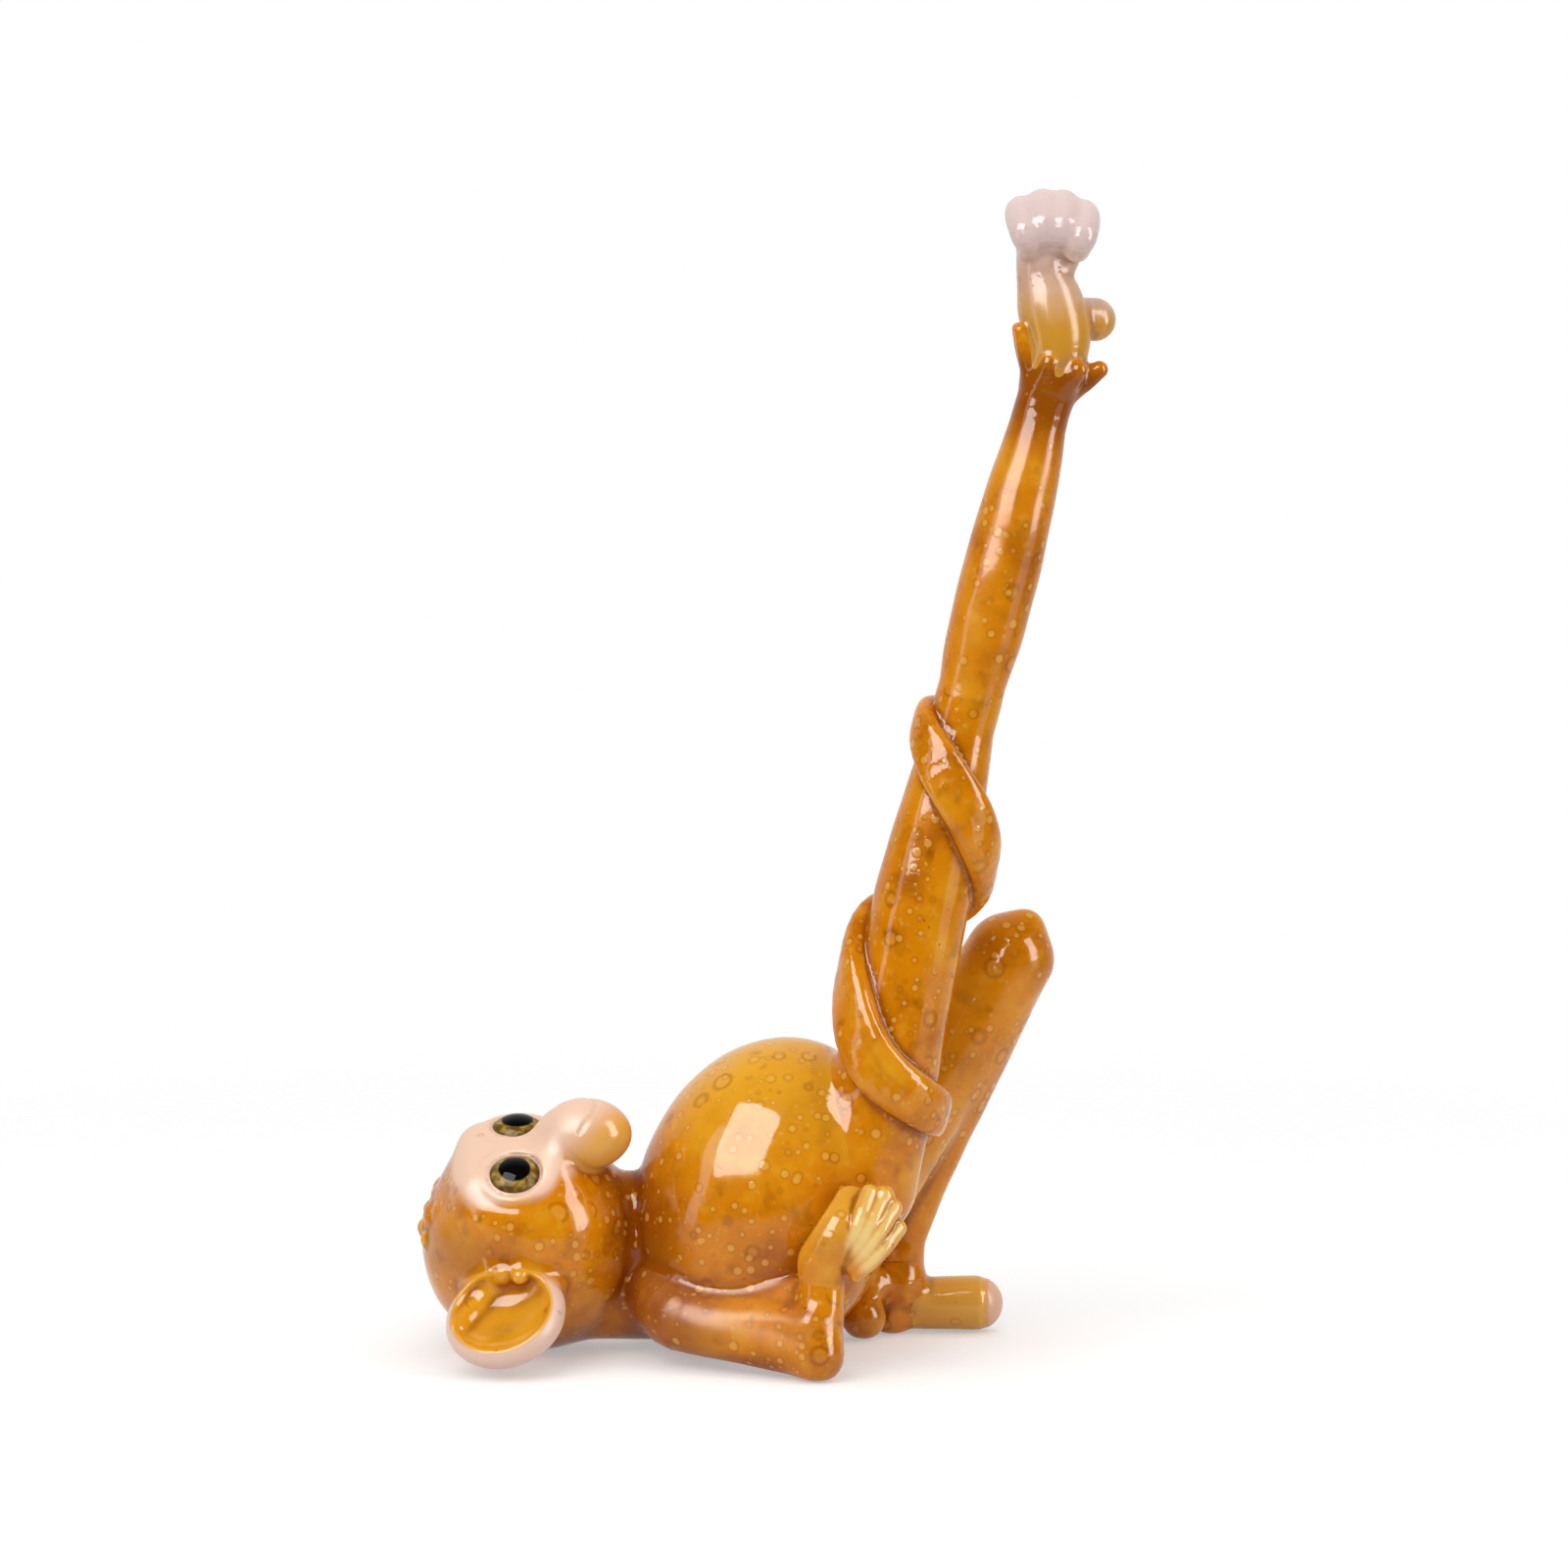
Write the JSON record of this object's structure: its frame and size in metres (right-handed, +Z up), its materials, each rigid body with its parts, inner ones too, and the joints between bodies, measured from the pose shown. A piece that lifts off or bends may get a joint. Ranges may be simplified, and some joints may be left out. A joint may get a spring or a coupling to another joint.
{
  "type": "monkey figurine",
  "caption": "Glazed ceramic monkey ornament lying on its back, face up, with a leg raised straight up and the tail wound round it; rests on a shelf or table.",
  "frame": {"origin": "middle of the flat under the back, on which the figurine rests", "axes": "+Z up, the way the raised leg points; +X from the head to the feet; -Y to the monkey's right side"},
  "size_m": [0.1779, 0.1014, 0.2964],
  "materials": {
    "amber_glaze": "glossy amber glaze with small bubbles, darker where it pools",
    "honey_glaze": "glossy pale honey glaze",
    "blush_glaze": "glossy pink and peach glaze",
    "eye_glaze": "glossy dark pupil on an olive iris"
  },
  "bodies": {
    "root": {"torso_shell": "amber_glaze", "head_shell": "amber_glaze", "right_ear": "amber_glaze", "left_ear": "amber_glaze", "crown_tuft": "amber_glaze", "raised_thigh": "amber_glaze", "raised_shin": "amber_glaze", "raised_fur_cuff": "amber_glaze", "bent_thigh": "amber_glaze", "bent_shin": "amber_glaze", "bent_fur_cuff": "amber_glaze", "tail": "amber_glaze", "right_upper_arm": "amber_glaze", "right_forearm": "amber_glaze", "left_upper_arm": "amber_glaze", "left_forearm": "amber_glaze", "right_hand": "honey_glaze", "left_hand": "honey_glaze", "bent_foot": "honey_glaze", "bent_big_toe": "honey_glaze", "raised_foot": "blush_glaze", "raised_big_toe": "blush_glaze", "right_eye": "eye_glaze", "left_eye": "eye_glaze"}
  },
  "joints": []
}
